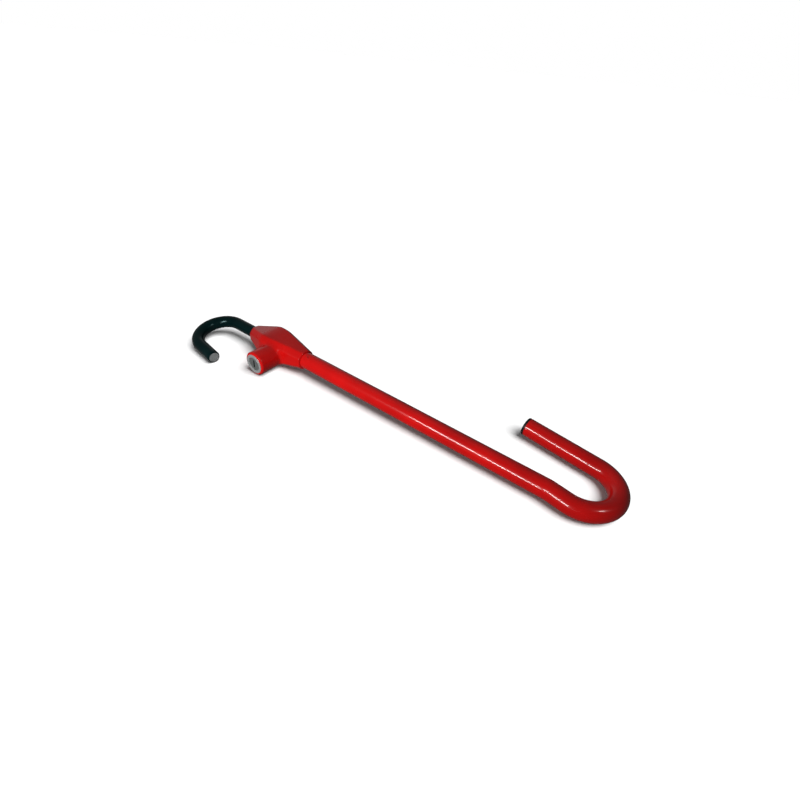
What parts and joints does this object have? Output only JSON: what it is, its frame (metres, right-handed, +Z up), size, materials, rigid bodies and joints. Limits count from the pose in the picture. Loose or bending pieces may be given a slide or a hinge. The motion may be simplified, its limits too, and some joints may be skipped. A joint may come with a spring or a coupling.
{
  "type": "steering wheel lock",
  "caption": "Telescoping bar lock between a steering wheel and a pedal, with a J-hook tube, a cast lock housing with a key barrel and a sleeved rod hook.",
  "frame": {"origin": "middle of the flat pad under the lock housing, on which the lock rests", "axes": "+X along the rod and tube towards the pedal hook, -Y the side of the key barrel, +Z up"},
  "size_m": [0.5371, 0.1496, 0.0358],
  "materials": {
    "tube_red": "gloss red powder coat",
    "housing_red": "gloss red paint over a casting",
    "black_vinyl": "soft satin dipped vinyl",
    "black_plastic": "satin moulded plastic",
    "rod_steel": "bright turned steel",
    "chrome": "bright plated",
    "zinc": "raw die cast",
    "brass": "stamped brass",
    "spring_steel": "oiled spring steel",
    "bush_plastic": "natural nylon"
  },
  "bodies": {
    "lock_body": {"j_hook_tube": "tube_red", "tube_end_cap": "black_plastic", "stop_rivet": "tube_red", "lock_housing": "housing_red", "tube_anchor_pins": "spring_steel", "mouth_bush": "bush_plastic", "mouth_wiper": "black_plastic", "cylinder_shell": "zinc", "cylinder_bezel": "chrome", "cylinder_retaining_pin": "spring_steel", "bolt_spring": "spring_steel"},
    "plug": {"key_plug": "chrome", "plug_clip": "spring_steel", "plug_cam": "rod_steel", "cam_screw": "spring_steel"},
    "wafer_stack": {"wafers": "brass"},
    "bolt": {"lock_bolt": "rod_steel"},
    "rod_guide": {"tail_bush": "bush_plastic"},
    "wheel_hook": {"hook_rod": "rod_steel", "hook_sleeve": "black_vinyl", "tail_washer": "rod_steel", "tail_screw": "spring_steel"}
  },
  "joints": [
    {"name": "rod_slide", "type": "slide", "parent": "lock_body", "child": "rod_guide", "axis": [-1, 0, 0], "range_m": [0, 0.275]},
    {"name": "hook_swivel", "type": "hinge", "parent": "rod_guide", "child": "wheel_hook", "pos_m": [0, 0, 0.018], "axis": [1, 0, 0], "continuous": true},
    {"name": "key_turn", "type": "hinge", "parent": "lock_body", "child": "plug", "pos_m": [0.012, -0.03, 0.0146], "axis": [0, 1, 0], "range_deg": [0, 90]},
    {"name": "bolt_slide", "type": "slide", "parent": "lock_body", "child": "bolt", "axis": [0, 1, 0], "range_m": [0, 0.0024]},
    {"name": "wafer_travel", "type": "slide", "parent": "plug", "child": "wafer_stack", "axis": [0, 0, 1], "range_m": [0, 0.0008]}
  ],
  "couplings": [
    {"joint": "bolt_slide", "follows": "key_turn", "m_per_rad": 0.001527}
  ]
}
